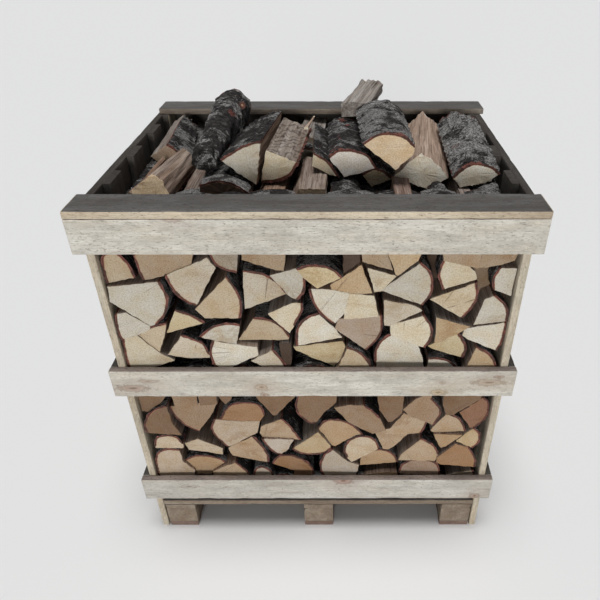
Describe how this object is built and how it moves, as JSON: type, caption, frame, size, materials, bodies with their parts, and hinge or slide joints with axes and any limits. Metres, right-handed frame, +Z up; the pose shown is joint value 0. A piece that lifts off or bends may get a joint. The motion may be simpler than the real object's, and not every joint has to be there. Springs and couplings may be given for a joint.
{
  "type": "crated birch firewood bundle",
  "caption": "Slatted pine crate on its own pallet, open at the front, filled with stacked split birch firewood and a loose heap of larger logs on top.",
  "frame": {"origin": "on the floor, under the middle of the whole object's box", "axes": "+Z up; the open side with the sawn log ends faces -Y; +X along the long rails to the right as seen from the front"},
  "size_m": [1.21, 0.98, 1.41],
  "materials": {
    "cap_pine": "weathered grey sawn pine",
    "rail_pine": "pale sawn pine",
    "slat_pine": "pale sawn pine",
    "pallet_pine": "sawn pallet pine",
    "stacked_birch": "sawn and split birch with bark",
    "heap_birch": "split birch with dark flaking bark"
  },
  "bodies": {
    "root": {"centre_front_block": "pallet_pine", "centre_middle_block": "pallet_pine", "centre_rear_block": "pallet_pine", "centre_skid": "pallet_pine", "centre_stringer": "pallet_pine", "front_bottom_rail": "rail_pine", "front_cap": "cap_pine", "front_deck_board": "pallet_pine", "front_mid_deck_board": "pallet_pine", "front_middle_rail": "rail_pine", "front_row_of_logs": "stacked_birch", "front_top_rail": "rail_pine", "heap_big_top": "heap_birch", "heap_broken_chunk": "heap_birch", "heap_half_round": "heap_birch", "heap_half_small": "heap_birch", "heap_half_white": "heap_birch", "heap_left_front": "heap_birch", "heap_left_rear": "heap_birch", "heap_long_dark": "heap_birch", "heap_low_split": "heap_birch", "heap_quarter": "heap_birch", "heap_ridge": "heap_birch", "heap_silver_bark": "heap_birch", "heap_wavy_quarter": "heap_birch", "left_bottom_rail": "rail_pine", "left_front_block": "pallet_pine", "left_front_corner_slat": "slat_pine", "left_front_slat": "slat_pine", "left_middle_block": "pallet_pine", "left_middle_rail": "rail_pine", "left_middle_slat": "slat_pine", "left_rear_block": "pallet_pine", "left_rear_corner_slat": "slat_pine", "left_rear_slat": "slat_pine", "left_skid": "pallet_pine", "left_stringer": "pallet_pine", "left_top_rail": "rail_pine", "middle_deck_board": "pallet_pine", "middle_row_of_logs": "stacked_birch", "rear_bottom_rail": "rail_pine", "rear_cap": "cap_pine", "rear_deck_board": "pallet_pine", "rear_mid_deck_board": "pallet_pine", "rear_middle_rail": "rail_pine", "rear_row_of_logs": "stacked_birch", "rear_top_rail": "rail_pine", "right_bottom_rail": "rail_pine", "right_front_block": "pallet_pine", "right_front_corner_slat": "slat_pine", "right_front_slat": "slat_pine", "right_middle_block": "pallet_pine", "right_middle_rail": "rail_pine", "right_middle_slat": "slat_pine", "right_rear_block": "pallet_pine", "right_rear_corner_slat": "slat_pine", "right_rear_slat": "slat_pine", "right_skid": "pallet_pine", "right_stringer": "pallet_pine", "right_top_rail": "rail_pine"}
  },
  "joints": []
}
